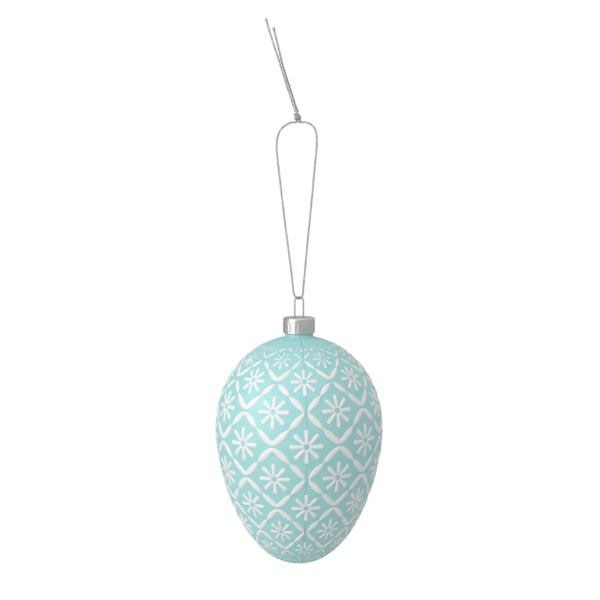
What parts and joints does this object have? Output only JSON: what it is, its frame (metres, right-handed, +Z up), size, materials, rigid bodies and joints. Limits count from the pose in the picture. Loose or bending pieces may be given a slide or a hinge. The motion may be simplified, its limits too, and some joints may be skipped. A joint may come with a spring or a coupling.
{
  "type": "hanging egg ornament",
  "caption": "Hollow glass egg ornament with a raised folk lattice pattern, a metal cap, a spring wire hanger and a knotted cord loop to hang it by.",
  "frame": {"origin": "the inside top of the cord loop, under the knot, where the ornament hangs from a twig or hook", "axes": "+Z up along the egg's axis, -Y towards the front, +X to the right seen from the front"},
  "size_m": [0.06, 0.06, 0.1952],
  "materials": {
    "turquoise_glass": "matte turquoise coat with raised off-white pattern",
    "silver_sheet": "bright silver sheet",
    "spring_wire": "bright drawn wire",
    "metallic_cord": "silver metallic twisted cord"
  },
  "bodies": {
    "cord": {"cord_leg_left": "metallic_cord", "cord_leg_right": "metallic_cord", "cord_knot": "metallic_cord", "cord_tail_long": "metallic_cord", "cord_tail_short": "metallic_cord"},
    "loop_end": {"cord_saddle": "metallic_cord"},
    "hanger": {"hanger_wire": "spring_wire"},
    "cap": {"cap": "silver_sheet"},
    "egg": {"egg_shell": "turquoise_glass"}
  },
  "joints": [
    {"name": "cord_twist", "type": "hinge", "parent": "cord", "child": "loop_end", "pos_m": [0, 0, -0.05], "axis": [0, 0, 1], "range_deg": [-120, 120], "stiffness_Nm_per_rad": 0.00006},
    {"name": "ornament_swing", "type": "hinge", "parent": "loop_end", "child": "hanger", "pos_m": [0, 0, -0.06375], "axis": [0, 1, 0], "range_deg": [-60, 60]},
    {"name": "cap_lift", "type": "slide", "parent": "hanger", "child": "cap", "axis": [0, 0, 1], "range_m": [0, 0.004]},
    {"name": "egg_pull_off", "type": "slide", "parent": "hanger", "child": "egg", "axis": [0, 0, -1], "range_m": [0, 0.018]}
  ]
}
